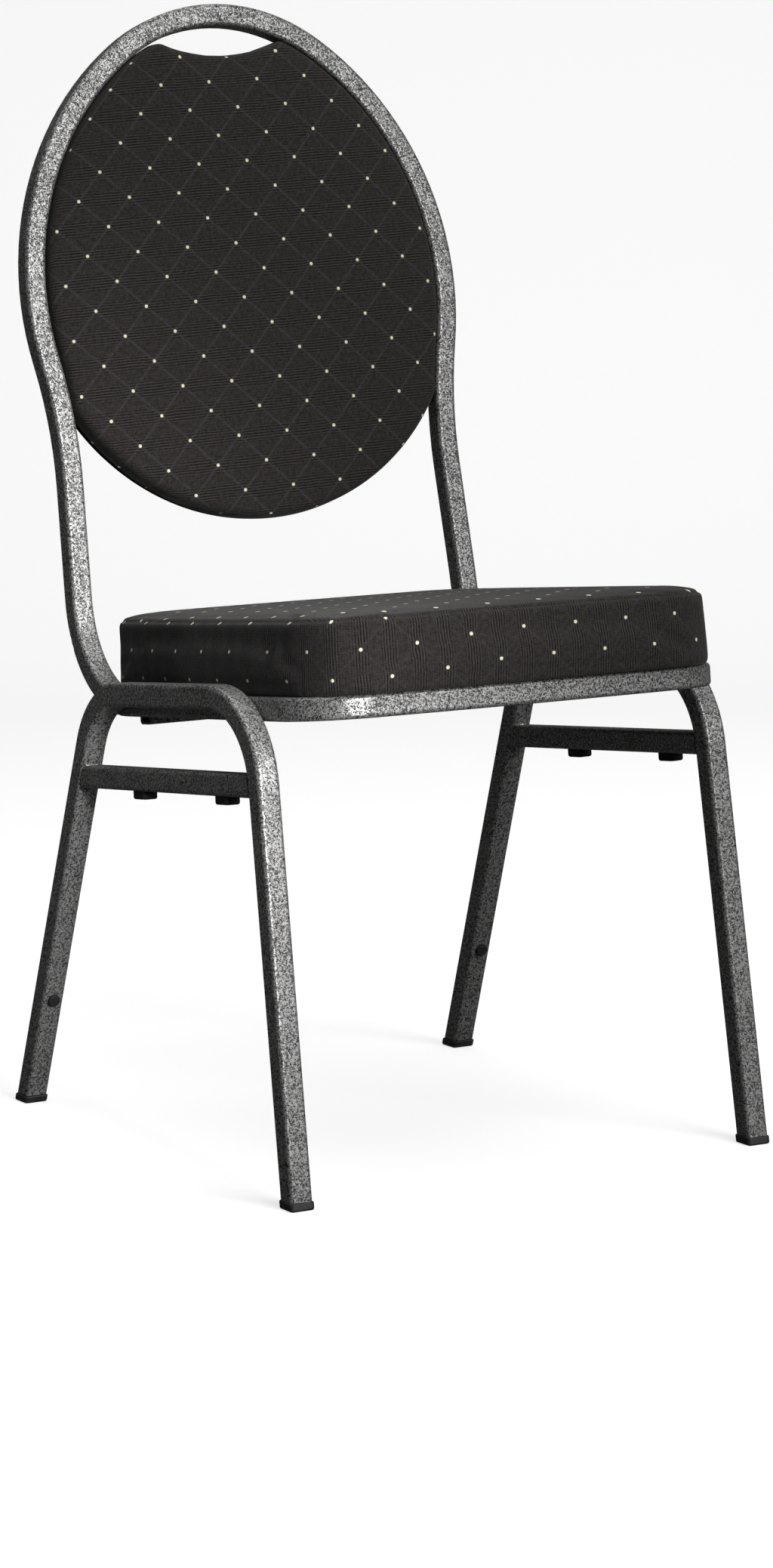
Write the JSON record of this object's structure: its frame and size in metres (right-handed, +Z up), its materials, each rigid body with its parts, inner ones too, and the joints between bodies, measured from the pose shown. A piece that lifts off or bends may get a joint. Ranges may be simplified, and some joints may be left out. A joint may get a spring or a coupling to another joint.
{
  "type": "stacking chair",
  "caption": "Armless banquet chair with a bent square-tube frame, an oval hoop back with a hand gap, and a padded fabric seat and back pad.",
  "frame": {"origin": "on the floor, under the middle of the chair's overall length and width", "axes": "+Z up, -Y towards the front of the chair, +X towards the sitter's left"},
  "size_m": [0.4556, 0.5513, 0.9463],
  "materials": {
    "frame_paint": "hammertone silver-vein powder coat over black",
    "fabric": "charcoal-black woven upholstery with small cream dots on a fine diamond lattice",
    "plywood": "bare birch plywood",
    "cap_plastic": "moulded dark grey plastic",
    "bumper_rubber": "matt black rubber",
    "steel": "zinc-plated steel",
    "dust_cloth": "thin black non-woven sheet"
  },
  "bodies": {
    "root": {"left_leg_frame": "frame_paint", "right_leg_frame": "frame_paint", "left_stretcher": "frame_paint", "right_stretcher": "frame_paint", "back_hoop": "frame_paint", "front_seat_rail": "frame_paint", "rear_seat_rail": "frame_paint", "seat_tabs": "frame_paint", "back_tabs": "frame_paint", "seat_cushion": "fabric", "back_cushion": "fabric", "back_cover": "fabric", "seat_board": "plywood", "back_board": "plywood", "left_front_foot": "cap_plastic", "left_rear_foot": "cap_plastic", "right_front_foot": "cap_plastic", "right_rear_foot": "cap_plastic", "stretcher_bumpers": "bumper_rubber", "rear_leg_bumpers": "bumper_rubber", "seat_screws": "steel", "back_screws": "steel", "seat_tee_nuts": "steel", "joint_sleeves": "steel", "seat_dust_cover": "dust_cloth"}
  },
  "joints": []
}
